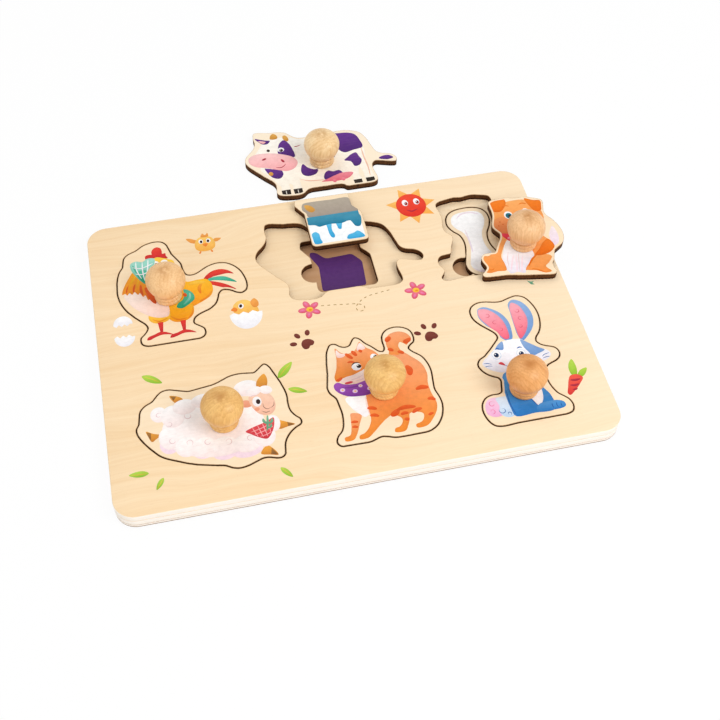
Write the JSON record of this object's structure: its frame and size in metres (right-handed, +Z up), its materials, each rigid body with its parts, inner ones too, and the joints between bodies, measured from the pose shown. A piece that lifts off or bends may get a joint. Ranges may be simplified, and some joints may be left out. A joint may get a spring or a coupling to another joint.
{
  "type": "peg puzzle",
  "caption": "Wooden farm peg puzzle: a layered board with animal-shaped recesses, knobbed animal plates that lift out, and small pieces seated below them.",
  "frame": {"origin": "centre of the board's underside, on the surface that it lies on", "axes": "+X along the board's long side to the right, +Y towards the back edge, +Z up through the sheets"},
  "size_m": [0.311, 0.3008, 0.0429],
  "materials": {
    "ply": "lacquered plywood",
    "beech": "satin turned wood",
    "steel": "zinc plated",
    "rooster_print": "printed plywood",
    "sheep_print": "printed plywood",
    "cat_print": "printed plywood",
    "rabbit_print": "printed plywood",
    "cow_print": "printed plywood",
    "dog_print": "printed plywood",
    "egg_print": "printed plywood",
    "wool_print": "printed plywood",
    "fish_print": "printed plywood",
    "carrot_print": "printed plywood",
    "bone_print": "printed plywood",
    "carton_print": "printed plywood"
  },
  "bodies": {
    "board": {"base_board": "ply", "middle_board": "ply", "top_board": "ply"},
    "egg": {"egg_piece": "egg_print"},
    "wool": {"wool_piece": "wool_print"},
    "fish": {"fish_piece": "fish_print"},
    "carrot": {"carrot_piece": "carrot_print"},
    "bone": {"bone_piece": "bone_print"},
    "carton": {"carton_piece": "carton_print"},
    "rooster": {"rooster_plate": "rooster_print", "rooster_knob": "beech", "rooster_screw": "steel"},
    "sheep": {"sheep_plate": "sheep_print", "sheep_knob": "beech", "sheep_screw": "steel"},
    "cat": {"cat_plate": "cat_print", "cat_knob": "beech", "cat_screw": "steel"},
    "rabbit": {"rabbit_plate": "rabbit_print", "rabbit_knob": "beech", "rabbit_screw": "steel"},
    "dog": {"dog_plate": "dog_print", "dog_knob": "beech", "dog_screw": "steel"},
    "cow": {"cow_plate": "cow_print", "cow_knob": "beech", "cow_screw": "steel"}
  },
  "joints": [
    {"name": "lift_egg", "type": "slide", "parent": "board", "child": "egg", "axis": [0, 0, 1], "range_m": [0, 0.05]},
    {"name": "lift_wool", "type": "slide", "parent": "board", "child": "wool", "axis": [0, 0, 1], "range_m": [0, 0.05]},
    {"name": "lift_fish", "type": "slide", "parent": "board", "child": "fish", "axis": [0, 0, 1], "range_m": [0, 0.05]},
    {"name": "lift_carrot", "type": "slide", "parent": "board", "child": "carrot", "axis": [0, 0, 1], "range_m": [0, 0.05]},
    {"name": "lift_bone", "type": "slide", "parent": "board", "child": "bone", "axis": [0, 0, 1], "range_m": [0, 0.05]},
    {"name": "lift_carton", "type": "slide", "parent": "board", "child": "carton", "axis": [0, 0, 1], "range_m": [0, 0.05]},
    {"name": "lift_rooster", "type": "slide", "parent": "egg", "child": "rooster", "axis": [0, 0, 1], "range_m": [0, 0.05]},
    {"name": "lift_sheep", "type": "slide", "parent": "wool", "child": "sheep", "axis": [0, 0, 1], "range_m": [0, 0.05]},
    {"name": "lift_cat", "type": "slide", "parent": "fish", "child": "cat", "axis": [0, 0, 1], "range_m": [0, 0.05]},
    {"name": "lift_rabbit", "type": "slide", "parent": "carrot", "child": "rabbit", "axis": [0, 0, 1], "range_m": [0, 0.05]},
    {"name": "lift_dog", "type": "slide", "parent": "bone", "child": "dog", "axis": [0, 0, 1], "range_m": [0, 0.05]},
    {"name": "lift_cow", "type": "slide", "parent": "board", "child": "cow", "axis": [0, 0, 1], "range_m": [0, 0.05]}
  ]
}
